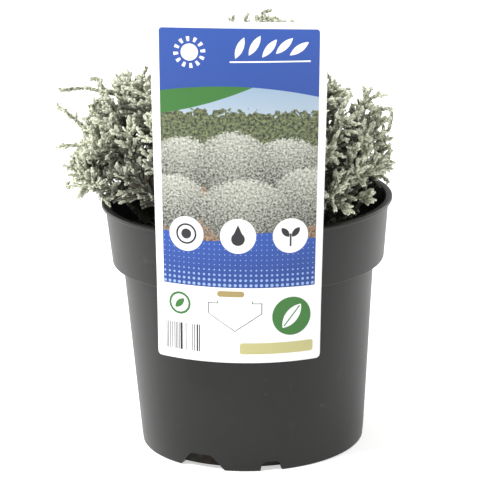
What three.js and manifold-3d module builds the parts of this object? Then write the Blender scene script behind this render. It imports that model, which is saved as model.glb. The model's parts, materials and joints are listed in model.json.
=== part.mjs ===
// A cushion bush in a plastic nursery pot, with a printed card label in front.
// Millimetres, +Z up, origin at the middle of the pot's base, the card towards -Y.

import * as THREE from 'three';
import { mergeVertices } from 'three/addons/utils/BufferGeometryUtils.js';
import Module from 'manifold-3d';

// Pot
const POT_HEIGHT = 121;
const POT_SIDES = 56;
const LIP_RADIUS = 70;
const LIP_THICKNESS = 2;
const COLLAR_TOP_RADIUS = 68.2;
const COLLAR_FOOT_RADIUS = 65.7;
const LEDGE_HEIGHT = 91;
const BODY_TOP_RADIUS = 60.7;
const FOOT_RADIUS = 54.3;
const WALL = 1.3;
const FLOOR = 1.8;
const LIP_EDGE = 0.5;
const LEDGE_ROUND = 0.6;
const FOOT_ROUND = 0.8;

// Drain notches round the foot: pairs of a wide one and a narrow one beside it
const NOTCH_PAIRS = 3;
const NARROW_NOTCH_OFFSET = THREE.MathUtils.degToRad(36);
const NOTCH_FIRST_AZIMUTH = THREE.MathUtils.degToRad(-27.5);
const WIDE_NOTCH = { foot: 24, top: 12, height: 7.4 };
const NARROW_NOTCH = { foot: 10.5, top: 7.5, height: 4.8 };
const NOTCH_DEPTH = 9;
const NOTCH_CORNER = 1.5;
const CUT_OVERLAP = 2;

// Potting mix
const GAP = 0.3;
const SOIL_LEVEL = 104;
const SOIL_RELIEF = 0.8;
const SOIL_WAVES = { x: 0.13, y: 0.11, phase: 1.1 };
const SLANTED_WAVES = { x: 0.05, y: -0.19, share: 0.6 };
const SOIL_SIDES = 32;
const SOIL_RINGS = 4;
const SOIL_EDGE_GAP = 0.4;
const HOLE_DEPTH = 18;
const HOLE_SIDES = 8;

// Card label
const CARD_WIDTH = 79;
const CARD_HEIGHT = 159;
const CARD_THICKNESS = 0.6;
const CARD_FOOT = 60;
const CARD_CORNER = 2;
const CARD_BEND_FOOT = 0.0145;
const CARD_BEND_LOSS = 0.0135;
const CARD_BEND_POWER = 1.5;
const CARD_TURN = THREE.MathUtils.degToRad(-3.8);
const CARD_LEAN = THREE.MathUtils.degToRad(1.7);
const CARD_COLUMNS = 10;
const CARD_ROWS = 8;
const TONGUE = { neckHalf: 8, shoulderHalf: 12.3, neck: 89.5, shoulder: 88.5, flank: 83.6, tip: 75.2 };
const TONGUE_OFFSET = -1.3;
const SLIT = 0.5;
const SLIT_CUTTER = 12;
const BLANK = { front: 10, back: 30 };

// Bush: a lobed dome of twig tips, a little to the left of the pot's axis
const BUSH_CENTRE = new THREE.Vector3(-8.5, 0, 130);
const BUSH_RADIUS = 82;
const SHOULDER_DIP = 0.22;
const SHOULDER_ELEVATION = THREE.MathUtils.degToRad(54);
const SHOULDER_TILT = THREE.MathUtils.degToRad(4);
const SHOULDER_SPREAD = THREE.MathUtils.degToRad(16);
const CROWN_SHIFT = 14;
const LOBE = 0.028;
const HORIZON = 0;
const LOWEST_TIP_ELEVATION = THREE.MathUtils.degToRad(-4);
const INNER_TIPS = { count: 44, reach: [0.5, 0.78], lowest: HORIZON, seed: 11 };
const SHELL_TIPS = { count: 122, reach: [0.88, 1], lowest: LOWEST_TIP_ELEVATION, seed: 12 };
const SPRIG_TIPS = { count: 240, reach: [0.8, 1], lowest: LOWEST_TIP_ELEVATION, seed: 13 };
const SKIRT_TIPS = { count: 20, radius: [42, 60], height: [109, 118], seed: 5 };
const BARE_SIDE = { x: -20, y: 10 };
const AZIMUTH_SCATTER = 0.35;
const GOLDEN_ANGLE = Math.PI * (3 - Math.sqrt(5));

// The furthest tips, seen against the background on the left, above the card and on the right
const FURTHEST_TIPS = [
  [-45, 2, 180], [-52, 0, 178.5], [-69, -4, 181], [-73, 4, 178.5], [-77, -3, 176.5], [-87, -10, 177],
  [-90, 0, 168], [-91, -4, 148], [-88, -6, 140], [-86, 4, 126], [-71, -8, 124.5],
  [-3, 2, 209], [3, -4, 211], [10, 6, 209], [14.5, -2, 207.5],
  [37, 0, 185.5], [42, 4, 177.5], [48, -6, 173], [61, 6, 171.5], [67, -4, 169.5], [71, 5, 161],
  [68.5, -3, 152], [66.5, 4, 144], [66.5, -6, 134], [66, 4, 127],
];

// Leafy stems: each one fills its own cone, seen from a point below the mix
const CONE_POINT = new THREE.Vector3(-3, 0, 55);
const INNER_STEMS = { count: 4, lean: THREE.MathUtils.degToRad(16), start: 0.5 };
const OUTER_STEMS = { count: 8, lean: THREE.MathUtils.degToRad(39), start: 0.2 };
const STEM_KNOTS = [9, 24];
const STEM_COLLAR = 2;
const CONE_MARGIN = 1.7;
const CONE_PASSES = 3;
const CARD_CLEARANCE = 3;
const CARD_SPARE = 0.2;
const RIM_CLEARANCE = 2.2;
const SOIL_CLEARANCE = 3;
const PLACES_CHECKED = 12;

// Twigs
const WOOD_RADIUS = 0.5;
const WOOD_GROWTH = 0.3;
const LEAFY_RADIUS = 0.95;
const TIP_RADIUS = 0.6;
const ROOT_RADIUS = 0.2;
const LEAFY_FROM = 0.62;
const LEAFY_TO = 0.8;
const STEP_LENGTH = 12;
const SPRIG_LENGTH = [4, 15];
const SHORTEST_BRANCH = 3;
const PATH_WEIGHT = 0.6;
const STRAIGHT_AHEAD = 0.35;
const TURNING_COST = 30;
const SIDE_SHOOT_CURVE = 0.42;
const TWIG_SIDES = 3;
const STEM_SIDES = 6;

// Corners of a mesh that are nearer than this are one corner
const WELD = 1e-4;

const wasm = await Module();
wasm.setup();

// A closed three.js geometry as a solid that can be joined and cut.
function solid(geometry) {
  const plain = geometry.index ? geometry : mergeVertices(geometry);
  plain.deleteAttribute('normal');
  plain.deleteAttribute('uv');
  const merged = mergeVertices(plain, WELD);
  const vertProperties = new Float32Array(merged.attributes.position.array);
  const triVerts = new Uint32Array(merged.index.array);
  return new wasm.Manifold(new wasm.Mesh({ numProp: 3, vertProperties, triVerts }));
}

// A named mesh made from a finished solid.
function meshOf(name, body, material) {
  const result = body.getMesh();
  const geometry = new THREE.BufferGeometry();
  const corners = new Float32Array(result.vertProperties);
  geometry.setAttribute('position', new THREE.BufferAttribute(corners, 3));
  geometry.setIndex(new THREE.BufferAttribute(new Uint32Array(result.triVerts), 1));
  geometry.computeVertexNormals();
  const mesh = new THREE.Mesh(geometry, material);
  mesh.name = name;
  return mesh;
}

// A repeatable stream of numbers between 0 and 1, by multiplication in a prime field.
function stream(seed) {
  const prime = 2147483647;
  const multiplier = 48271;
  let state = (seed * 1000003 + 12345) % prime;
  return () => {
    state = (state * multiplier) % prime;
    return state / prime;
  };
}

// A turned body about the Z axis from a profile of radius and height pairs.
function turned(profile, sides) {
  const points = profile.map(([radius, height]) => new THREE.Vector2(radius, height));
  return new THREE.LatheGeometry(points, sides).rotateX(Math.PI / 2);
}

// The pot's inner radius at a height, a wall's thickness inside its outer face.
function innerRadius(height) {
  const slope = (BODY_TOP_RADIUS - FOOT_RADIUS) / LEDGE_HEIGHT;
  if (height < LEDGE_HEIGHT) return FOOT_RADIUS - WALL + slope * height;
  const rise = (height - LEDGE_HEIGHT) / (POT_HEIGHT - LIP_THICKNESS - LEDGE_HEIGHT);
  return THREE.MathUtils.lerp(COLLAR_FOOT_RADIUS, COLLAR_TOP_RADIUS, rise) - WALL;
}

// Outline of a notch, wider at the foot, with rounded upper corners.
function notchShape({ foot, top, height }) {
  const shape = new THREE.Shape();
  shape.moveTo(-foot / 2, -CUT_OVERLAP);
  shape.lineTo(foot / 2, -CUT_OVERLAP);
  shape.lineTo(foot / 2, 0);
  shape.lineTo(top / 2 + NOTCH_CORNER / 2, height - NOTCH_CORNER);
  shape.quadraticCurveTo(top / 2, height, top / 2 - NOTCH_CORNER, height);
  shape.lineTo(NOTCH_CORNER - top / 2, height);
  shape.quadraticCurveTo(-top / 2, height, -top / 2 - NOTCH_CORNER / 2, height - NOTCH_CORNER);
  shape.lineTo(-foot / 2, 0);
  shape.closePath();
  return shape;
}

// One moulded shell: body, ledge, collar and flange, with drain notches through the foot.
function makePot() {
  const under = POT_HEIGHT - LIP_THICKNESS;
  const ledgeInside = LEDGE_HEIGHT + WALL;
  const profile = [
    [0, 0],
    [FOOT_RADIUS - FOOT_ROUND, 0],
    [FOOT_RADIUS, FOOT_ROUND],
    [BODY_TOP_RADIUS, LEDGE_HEIGHT],
    [COLLAR_FOOT_RADIUS - LEDGE_ROUND, LEDGE_HEIGHT],
    [COLLAR_FOOT_RADIUS, LEDGE_HEIGHT + LEDGE_ROUND],
    [COLLAR_TOP_RADIUS, under],
    [LIP_RADIUS - LIP_EDGE, under],
    [LIP_RADIUS, under + LIP_EDGE],
    [LIP_RADIUS, POT_HEIGHT - LIP_EDGE],
    [LIP_RADIUS - LIP_EDGE, POT_HEIGHT],
    [innerRadius(under) + LIP_EDGE, POT_HEIGHT],
    [innerRadius(under), POT_HEIGHT - LIP_EDGE],
    [innerRadius(ledgeInside), ledgeInside],
    [BODY_TOP_RADIUS - WALL, LEDGE_HEIGHT],
    [innerRadius(FLOOR), FLOOR],
    [0, FLOOR],
  ];
  let body = solid(turned(profile, POT_SIDES));
  for (let i = 0; i < NOTCH_PAIRS * 2; i++) {
    const isNarrow = i % 2 === 1;
    const pairAzimuth = NOTCH_FIRST_AZIMUTH + (Math.floor(i / 2) * 2 * Math.PI) / NOTCH_PAIRS;
    const shape = notchShape(isNarrow ? NARROW_NOTCH : WIDE_NOTCH);
    const options = { depth: NOTCH_DEPTH, bevelEnabled: false, curveSegments: 2 };
    const cutter = new THREE.ExtrudeGeometry(shape, options);
    cutter.rotateX(Math.PI / 2);
    cutter.translate(0, NOTCH_DEPTH - FOOT_RADIUS - CUT_OVERLAP, 0);
    cutter.rotateZ(pairAzimuth + (isNarrow ? NARROW_NOTCH_OFFSET : 0));
    body = body.subtract(solid(cutter));
  }
  return body;
}

// Height of the mix's crumbly surface.
function soilHeight(x, y) {
  const straight = Math.sin(x * SOIL_WAVES.x + SOIL_WAVES.phase) * Math.cos(y * SOIL_WAVES.y);
  const slanted = SLANTED_WAVES.share * Math.sin(x * SLANTED_WAVES.x + y * SLANTED_WAVES.y);
  return SOIL_LEVEL + SOIL_RELIEF * (straight + slanted);
}

// The mix fills the pot up to its level, with a hole for each stem.
function makeSoil(stems) {
  const foot = FLOOR + GAP;
  const ledge = LEDGE_HEIGHT + WALL + GAP;
  const edgeRadius = innerRadius(SOIL_LEVEL) - SOIL_EDGE_GAP;
  const profile = [
    [0, foot],
    [innerRadius(foot) - GAP, foot],
    [innerRadius(LEDGE_HEIGHT - GAP) - GAP, LEDGE_HEIGHT - GAP],
    [BODY_TOP_RADIUS - WALL - GAP, ledge],
    [innerRadius(ledge) - SOIL_EDGE_GAP, ledge + GAP],
    [edgeRadius, SOIL_LEVEL],
  ];
  for (let ring = SOIL_RINGS - 1; ring >= 0; ring--) {
    profile.push([(edgeRadius * ring) / SOIL_RINGS, SOIL_LEVEL]);
  }
  const geometry = turned(profile, SOIL_SIDES);
  const position = geometry.attributes.position;
  for (let i = 0; i < position.count; i++) {
    const x = position.getX(i);
    const y = position.getY(i);
    const onTop = position.getZ(i) > SOIL_LEVEL - GAP;
    const atEdge = Math.hypot(x, y) > edgeRadius - GAP;
    if (onTop && !atEdge) position.setZ(i, soilHeight(x, y));
  }
  let body = solid(geometry);
  for (const stem of stems) {
    const radius = stem.footRadius + GAP;
    const hole = new THREE.CylinderGeometry(radius, radius, HOLE_DEPTH + CUT_OVERLAP, HOLE_SIDES);
    hole.rotateX(Math.PI / 2);
    hole.translate(stem.foot.x, stem.foot.y, SOIL_LEVEL + (CUT_OVERLAP - HOLE_DEPTH) / 2);
    body = body.subtract(solid(hole));
  }
  return body;
}

// Curvature of the card at a height above its foot: it follows the pot below and is nearly flat above.
function cardBend(above) {
  const rise = THREE.MathUtils.clamp(above / CARD_HEIGHT, 0, 1);
  return CARD_BEND_FOOT - CARD_BEND_LOSS * rise ** CARD_BEND_POWER;
}

// A slot cutter along a straight line on the card's front, with its ends run out by half its width.
function slit([x0, z0], [x1, z1]) {
  const length = Math.hypot(x1 - x0, z1 - z0) + SLIT;
  const cutter = new THREE.BoxGeometry(length, SLIT_CUTTER, SLIT);
  cutter.rotateY(-Math.atan2(z1 - z0, x1 - x0));
  cutter.translate((x0 + x1) / 2, 0, (z0 + z1) / 2);
  return solid(cutter);
}

// The card's outline with rounded corners, about its middle.
function cardOutline() {
  const half = CARD_WIDTH / 2;
  const tall = CARD_HEIGHT / 2;
  const outline = new THREE.Shape();
  outline.moveTo(CARD_CORNER - half, -tall);
  outline.lineTo(half - CARD_CORNER, -tall);
  outline.quadraticCurveTo(half, -tall, half, CARD_CORNER - tall);
  outline.lineTo(half, tall - CARD_CORNER);
  outline.quadraticCurveTo(half, tall, half - CARD_CORNER, tall);
  outline.lineTo(CARD_CORNER - half, tall);
  outline.quadraticCurveTo(-half, tall, -half, tall - CARD_CORNER);
  outline.lineTo(-half, CARD_CORNER - tall);
  outline.quadraticCurveTo(-half, -tall, CARD_CORNER - half, -tall);
  return outline;
}

// A bent sheet, die-cut to its outline, with the slits of a locking tongue.
function makeCard() {
  const sheet = new THREE.BoxGeometry(CARD_WIDTH, CARD_THICKNESS, CARD_HEIGHT, CARD_COLUMNS, 1, CARD_ROWS);
  const position = sheet.attributes.position;
  for (let i = 0; i < position.count; i++) {
    const above = position.getZ(i) + CARD_HEIGHT / 2;
    const bend = cardBend(above);
    const reach = 1 / bend - position.getY(i);
    const turn = position.getX(i) * bend;
    position.setXYZ(i, reach * Math.sin(turn), 1 / bend - reach * Math.cos(turn), above);
  }
  const options = { depth: BLANK.front + BLANK.back, bevelEnabled: false, curveSegments: 3 };
  const blank = new THREE.ExtrudeGeometry(cardOutline(), options);
  blank.rotateX(Math.PI / 2);
  blank.translate(0, BLANK.back, CARD_HEIGHT / 2);
  let body = solid(sheet).intersect(solid(blank));
  for (const side of [-1, 1]) {
    const corners = [
      [TONGUE.neckHalf, TONGUE.neck],
      [TONGUE.neckHalf, TONGUE.shoulder],
      [TONGUE.shoulderHalf, TONGUE.shoulder],
      [TONGUE.shoulderHalf, TONGUE.flank],
      [0, TONGUE.tip],
    ].map(([across, level]) => [side * across + TONGUE_OFFSET, level - CARD_FOOT]);
    for (let i = 1; i < corners.length; i++) body = body.subtract(slit(corners[i - 1], corners[i]));
  }
  return body;
}

// Distance from the bush's centre to the tips of its twigs in one direction.
function bushReach(azimuth, elevation) {
  const shoulder = SHOULDER_ELEVATION - SHOULDER_TILT * Math.cos(azimuth);
  const dip = 1 - SHOULDER_DIP * Math.exp(-(((elevation - shoulder) / SHOULDER_SPREAD) ** 2));
  const around = Math.sin(3 * azimuth + 1.3);
  const slanting = Math.sin(5 * azimuth + 4 * elevation);
  return BUSH_RADIUS * dip * (1 + LOBE * (around + slanting) * Math.cos(elevation));
}

// How far out a point lies, from 0 at the bush's centre to 1 at the tips.
function outwardness(point) {
  const arm = point.clone().sub(BUSH_CENTRE);
  const flat = Math.hypot(arm.x, arm.y);
  return arm.length() / bushReach(Math.atan2(arm.y, arm.x), Math.atan2(arm.z, flat));
}

// How far a point lies behind the nearest place that a twig may come to the back of the card.
function behindCard(point) {
  const across = point.x * Math.cos(CARD_TURN) + point.y * Math.sin(CARD_TURN);
  const back = point.y * Math.cos(CARD_TURN) - point.x * Math.sin(CARD_TURN);
  return back + LIP_RADIUS - CARD_CLEARANCE - (cardBend(point.z - CARD_FOOT) * across * across) / 2;
}

// True where a twig of about a millimetre's radius misses the pot, the mix and the card.
function isClear(point) {
  const radius = Math.hypot(point.x, point.y);
  const overRim = radius > innerRadius(POT_HEIGHT - LIP_THICKNESS) - RIM_CLEARANCE;
  const floor = overRim ? POT_HEIGHT + RIM_CLEARANCE : SOIL_LEVEL + SOIL_CLEARANCE;
  return point.z > floor && behindCard(point) > 0;
}

// A point at a share of the bush's reach, with the crown leaning a little to the right.
function fromCentre(azimuth, elevation, share) {
  const reach = bushReach(azimuth, elevation) * share;
  const level = reach * Math.cos(elevation);
  const shift = CROWN_SHIFT * share * Math.sin(elevation) ** 4;
  const x = level * Math.cos(azimuth) + shift;
  const y = level * Math.sin(azimuth);
  return new THREE.Vector3(x, y, reach * Math.sin(elevation)).add(BUSH_CENTRE);
}

// Evenly spread points at random shares of the bush's reach.
function spread({ count, reach, lowest, seed }) {
  const draw = stream(seed);
  const points = [];
  for (let i = 0; i < count; i++) {
    const elevation = Math.asin(THREE.MathUtils.lerp(1, Math.sin(lowest), (i + 0.5) / count));
    const azimuth = i * GOLDEN_ANGLE + AZIMUTH_SCATTER * (draw() - 0.5);
    points.push(fromCentre(azimuth, elevation, THREE.MathUtils.lerp(...reach, draw())));
  }
  return points;
}

// Low shoots inside the rim, all round but for the bare left front.
function skirt({ count, radius, height, seed }) {
  const draw = stream(seed);
  const points = [];
  for (let i = 0; i < count; i++) {
    const azimuth = i * GOLDEN_ANGLE;
    const out = THREE.MathUtils.lerp(...radius, draw());
    const level = THREE.MathUtils.lerp(...height, draw());
    const point = new THREE.Vector3(out * Math.cos(azimuth), out * Math.sin(azimuth), level);
    if (point.x > BARE_SIDE.x || point.y > BARE_SIDE.y) points.push(point);
  }
  return points;
}

// Directions of the stems from the cones' common point, an inner and an outer ring.
function stemDirections() {
  const directions = [];
  for (const { count, lean, start } of [INNER_STEMS, OUTER_STEMS]) {
    for (let i = 0; i < count; i++) {
      const azimuth = start + (i * 2 * Math.PI) / count;
      const level = Math.sin(lean);
      const direction = [level * Math.cos(azimuth), level * Math.sin(azimuth), Math.cos(lean)];
      directions.push(new THREE.Vector3(...direction));
    }
  }
  return directions;
}

// Moves a point into one stem's cone, clear of the cones beside it.
function intoCone(point, own, directions) {
  for (let pass = 0; pass < CONE_PASSES; pass++) {
    for (const other of directions) {
      if (other === directions[own]) continue;
      const away = directions[own].clone().sub(other).normalize();
      const depth = point.clone().sub(CONE_POINT).dot(away);
      if (depth < CONE_MARGIN) point.addScaledVector(away, CONE_MARGIN - depth);
    }
  }
  return point;
}

// The stem whose direction is nearest to a point's.
function nearestCone(point, directions) {
  const arm = point.clone().sub(CONE_POINT).normalize();
  const fits = directions.map((direction) => direction.dot(arm));
  return fits.indexOf(Math.max(...fits));
}

// One stem's branches: knots joined to their parents, and shoots as runs of knots from root to end.
function growStem(own, directions, ends) {
  const direction = directions[own];
  const foot = CONE_POINT.clone().addScaledVector(direction, (SOIL_LEVEL - CONE_POINT.z) / direction.z);
  const knots = [];
  const addKnot = (place, parent) => {
    const from = parent < 0 ? new THREE.Vector3(0, 0, 1) : place.clone().sub(knots[parent].place);
    const path = parent < 0 ? 0 : knots[parent].path + from.length();
    knots.push({ place, parent, path, heading: from.clone().normalize(), load: 0 });
    return knots.length - 1;
  };
  const stem = [addKnot(new THREE.Vector3(foot.x, foot.y, SOIL_LEVEL - HOLE_DEPTH + GAP), -1)];
  stem.push(addKnot(new THREE.Vector3(foot.x, foot.y, SOIL_LEVEL + STEM_COLLAR), stem[0]));
  for (const along of STEM_KNOTS) {
    stem.push(addKnot(foot.clone().addScaledVector(direction, along), stem[stem.length - 1]));
  }
  const shoots = [{ run: stem, main: true }];

  for (const { place: end, sprig } of ends) {
    let best = -1;
    let lowest = Infinity;
    const [shortest, longest] = sprig ? SPRIG_LENGTH : [SHORTEST_BRANCH, Infinity];
    for (let i = 2; i < knots.length; i++) {
      const arm = end.clone().sub(knots[i].place);
      const length = arm.length();
      const back = Math.max(0, STRAIGHT_AHEAD - arm.dot(knots[i].heading) / length);
      const cost = length + PATH_WEIGHT * knots[i].path + TURNING_COST * back;
      if (length > shortest && length < longest && cost < lowest) {
        lowest = cost;
        best = i;
      }
    }
    if (best < 0) continue;
    const start = knots[best].place;
    const length = end.distanceTo(start);
    const bow = sprig ? 0 : SIDE_SHOOT_CURVE * length * 0.5;
    const control = start.clone().lerp(end, 0.5).addScaledVector(knots[best].heading, bow);
    intoCone(control, own, directions);
    const curve = new THREE.QuadraticBezierCurve3(start, control, end);
    const checked = curve.getPoints(PLACES_CHECKED).slice(1);
    if (!checked.every(isClear)) continue;
    const steps = sprig ? 1 : Math.max(2, Math.ceil(length / STEP_LENGTH));
    const run = [best];
    for (const place of curve.getPoints(steps).slice(1)) run.push(addKnot(place, run[run.length - 1]));
    shoots.push({ run, main: false });
  }
  for (const shoot of shoots) {
    let knot = shoot.run[shoot.run.length - 1];
    while (knot >= 0) {
      knots[knot].load += 1;
      knot = knots[knot].parent;
    }
  }
  return { foot, knots, shoots, footRadius: WOOD_RADIUS * knots[0].load ** WOOD_GROWTH };
}

// Radius of a shoot at a knot: bare wood inside the bush, clothed in scale leaves outside.
function shootRadius(knot) {
  const leafy = THREE.MathUtils.smoothstep(outwardness(knot.place), LEAFY_FROM, LEAFY_TO);
  const clothed = THREE.MathUtils.lerp(WOOD_RADIUS, LEAFY_RADIUS, leafy);
  return Math.max(WOOD_RADIUS * knot.load ** WOOD_GROWTH, clothed);
}

// A tapered rod along a run of knots: a cylinder whose rings are moved onto the knots.
function rod(places, radii, sides, twist) {
  const rings = places.length;
  const geometry = new THREE.CylinderGeometry(1, 1, rings - 1, sides, rings - 1);
  geometry.deleteAttribute('normal');
  geometry.deleteAttribute('uv');
  const merged = mergeVertices(geometry, WELD);
  const position = merged.attributes.position;
  const frames = [];
  let side = new THREE.Vector3(Math.cos(twist), Math.sin(twist), Math.sin(twist));
  for (let i = 0; i < rings; i++) {
    const heading = places[Math.min(i + 1, rings - 1)].clone().sub(places[Math.max(i - 1, 0)]).normalize();
    side = side.clone().addScaledVector(heading, -side.dot(heading)).normalize();
    frames.push({ side, across: heading.clone().cross(side) });
  }
  for (let i = 0; i < position.count; i++) {
    const ring = Math.round(position.getY(i) + (rings - 1) / 2);
    const { side: first, across: second } = frames[ring];
    const place = places[ring].clone();
    place.addScaledVector(first, position.getZ(i) * radii[ring]);
    place.addScaledVector(second, position.getX(i) * radii[ring]);
    position.setXYZ(i, place.x, place.y, place.z);
  }
  return merged;
}

// All the shoots of one stem, joined.
function makeStem({ knots, shoots, footRadius }) {
  let body = null;
  shoots.forEach((shoot, index) => {
    const places = shoot.run.map((knot) => knots[knot].place);
    const radii = shoot.run.map((knot) => shootRadius(knots[knot]));
    if (shoot.main) radii.fill(footRadius, 0, 2);
    else {
      const last = shoot.run[shoot.run.length - 1];
      radii[0] = ROOT_RADIUS;
      if (knots[last].load === 1 && radii.length > 2) radii[radii.length - 1] = TIP_RADIUS;
    }
    const piece = solid(rod(places, radii, shoot.main ? STEM_SIDES : TWIG_SIDES, index * GOLDEN_ANGLE));
    body = body ? body.add(piece) : piece;
  });
  return body;
}

const plastic = new THREE.MeshStandardMaterial({ color: 0x3b3a38, roughness: 0.45, metalness: 0 });
const mix = new THREE.MeshStandardMaterial({ color: 0x1d1915, roughness: 0.95, metalness: 0 });
const card = new THREE.MeshStandardMaterial({ color: 0xf2f3f4, roughness: 0.4, metalness: 0 });
const foliage = new THREE.MeshStandardMaterial({ color: 0xaeb39c, roughness: 0.8, metalness: 0 });

// Each twig end goes to the stem whose cone holds it, and is kept where it is clear.
const directions = stemDirections();
const endsOf = directions.map(() => []);
const sortEnds = (places, sprig) => {
  for (const end of places) {
    const own = nearestCone(end, directions);
    const place = intoCone(end, own, directions);
    place.y += Math.max(0, CARD_SPARE - behindCard(place));
    if (isClear(place)) endsOf[own].push({ place, sprig });
  }
};
sortEnds(spread(INNER_TIPS), false);
sortEnds(FURTHEST_TIPS.map((tip) => new THREE.Vector3(...tip)), false);
sortEnds(spread(SHELL_TIPS), false);
sortEnds(skirt(SKIRT_TIPS), false);
sortEnds(spread(SPRIG_TIPS), true);
const stems = directions.map((direction, own) => growStem(own, directions, endsOf[own]));

const plant = new THREE.Group();
plant.add(meshOf('pot', makePot(), plastic));
plant.add(meshOf('soil', makeSoil(stems), mix));

const label = meshOf('label', makeCard(), card);
const lean = new THREE.Group();
lean.rotation.y = CARD_LEAN;
lean.position.set(0, -LIP_RADIUS - GAP - CARD_THICKNESS / 2, POT_HEIGHT);
label.position.z = CARD_FOOT - POT_HEIGHT;
lean.add(label);
const turn = new THREE.Group();
turn.rotation.z = CARD_TURN;
turn.add(lean);
plant.add(turn);

stems.forEach((stem, index) => {
  plant.add(meshOf(`leafy_stem_${String(index + 1).padStart(2, '0')}`, makeStem(stem), foliage));
});

export default plant;
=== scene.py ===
import json
import math

import bmesh
import bpy
import numpy as np
from mathutils import Matrix, Vector, noise

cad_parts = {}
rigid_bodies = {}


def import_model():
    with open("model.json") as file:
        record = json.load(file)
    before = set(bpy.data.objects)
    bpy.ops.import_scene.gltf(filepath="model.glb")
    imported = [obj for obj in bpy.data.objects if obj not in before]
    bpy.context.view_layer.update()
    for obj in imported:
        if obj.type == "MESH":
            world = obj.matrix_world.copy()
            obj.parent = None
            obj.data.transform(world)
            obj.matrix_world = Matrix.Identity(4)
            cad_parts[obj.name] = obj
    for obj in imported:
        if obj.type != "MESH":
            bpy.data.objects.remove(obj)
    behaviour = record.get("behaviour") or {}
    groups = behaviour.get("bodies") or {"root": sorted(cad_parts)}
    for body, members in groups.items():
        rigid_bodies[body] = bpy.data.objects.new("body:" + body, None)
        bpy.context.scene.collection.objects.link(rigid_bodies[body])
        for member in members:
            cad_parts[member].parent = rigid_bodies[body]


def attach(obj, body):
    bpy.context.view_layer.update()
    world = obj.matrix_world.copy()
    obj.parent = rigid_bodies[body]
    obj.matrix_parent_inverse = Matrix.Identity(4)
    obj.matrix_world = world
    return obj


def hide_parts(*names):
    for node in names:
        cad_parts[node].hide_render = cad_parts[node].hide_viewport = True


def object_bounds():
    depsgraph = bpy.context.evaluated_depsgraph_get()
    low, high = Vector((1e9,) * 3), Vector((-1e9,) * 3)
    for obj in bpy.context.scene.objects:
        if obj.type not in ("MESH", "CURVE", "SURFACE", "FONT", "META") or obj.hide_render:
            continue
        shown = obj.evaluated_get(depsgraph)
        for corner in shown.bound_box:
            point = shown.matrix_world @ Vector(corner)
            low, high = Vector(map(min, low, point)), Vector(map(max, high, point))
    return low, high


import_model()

cad_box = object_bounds()


# The camera stands at the photograph's viewpoint: a long lens, a little above the rim, rolled by a
# degree and a half, with its aim near the pot's axis.
focal_pixels = 2375
picture_pixels = 480
camera_data = bpy.data.cameras.new("camera")
camera_data.sensor_width = 36
camera_data.lens = camera_data.sensor_width * focal_pixels / picture_pixels
aim = Vector((-0.00383, 0, 0.09886))
camera_distance = 1.15
camera_elevation = math.radians(15.75)
camera_roll = math.radians(-1.55)
back = Vector((0, -math.cos(camera_elevation), math.sin(camera_elevation)))
level_right = Vector((1, 0, 0))
level_up = back.cross(level_right)
camera_right = level_right * math.cos(camera_roll) + level_up * math.sin(camera_roll)
camera_up = level_up * math.cos(camera_roll) - level_right * math.sin(camera_roll)
camera = bpy.data.objects.new("camera", camera_data)
camera.matrix_world = Matrix.Translation(aim + back * camera_distance) @ Matrix(
    (camera_right, camera_up, back)
).transposed().to_4x4()
bpy.context.scene.collection.objects.link(camera)
bpy.context.scene.camera = camera


# The stage is a wide pale floor in a white room. One broad lamp hangs high on the left, and two weaker
# ones stand behind at the sides and draw the long soft edges on the pot.
class Wire:
    """A number or colour on its way through a material's nodes, so that sums can be written as sums."""

    def __init__(self, tree, socket):
        self.tree = tree
        self.socket = socket

    def node(self, kind, settings=None, inputs=None, output=0):
        """A new node with its settings and inputs, as the wire that leaves one of its outputs."""
        made = self.tree.nodes.new("ShaderNode" + kind)
        for name, value in (settings or {}).items():
            if name == "stops":
                ramp = made.color_ramp
                while len(ramp.elements) < len(value):
                    ramp.elements.new(1)
                for element, (position, shade) in zip(ramp.elements, value):
                    element.position = position
                    element.color = (*shade, 1)
            else:
                setattr(made, name, value)
        for name, value in (inputs or {}).items():
            if isinstance(value, Wire):
                self.tree.links.new(value.socket, made.inputs[name])
            else:
                made.inputs[name].default_value = value
        return Wire(self.tree, made.outputs[output])

    def maths(self, operation, first, second=0.0):
        """A sum of one or two numbers or wires."""
        return self.node("Math", {"operation": operation}, {0: first, 1: second})

    def __add__(self, other):
        return self.maths("ADD", self, other)

    __radd__ = __add__

    def __sub__(self, other):
        return self.maths("SUBTRACT", self, other)

    def __rsub__(self, other):
        return self.maths("SUBTRACT", other, self)

    def __mul__(self, other):
        return self.maths("MULTIPLY", self, other)

    __rmul__ = __mul__

    def __truediv__(self, other):
        return self.maths("DIVIDE", self, other)

    def __pow__(self, other):
        return self.maths("POWER", self, other)

    def __abs__(self):
        return self.maths("ABSOLUTE", self)

    def __lt__(self, other):
        return self.maths("LESS_THAN", self, other)

    def __gt__(self, other):
        return self.maths("GREATER_THAN", self, other)

    def larger(self, other):
        return self.maths("MAXIMUM", self, other)

    def smaller(self, other):
        return self.maths("MINIMUM", self, other)

    def into(self, low, high):
        """This number carried from 0 at low to 1 at high, and held there."""
        return self.node("MapRange", {"clamp": True}, {0: self, 1: low, 2: high})

    def grain(self, scale, detail=2.0, rough=0.5):
        """Noise between 0 and 1 at this place."""
        inputs = {"Vector": self, "Scale": scale, "Detail": detail, "Roughness": rough}
        return self.node("TexNoise", None, inputs)

    def tinted(self, under, over):
        """The colour under where this number is 0, and over where it is 1."""
        inputs = {"Factor": self, 6: under, 7: over}
        return self.node("Mix", {"data_type": "RGBA"}, inputs, 2)


def colour(red, green, blue):
    """A colour read off a screen as three numbers up to 255, in the renderer's linear light."""
    light = []
    for level in (red / 255, green / 255, blue / 255):
        light.append(level / 12.92 if level < 0.0404 else ((level + 0.055) / 1.055) ** 2.4)
    return (*light, 1)


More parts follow.
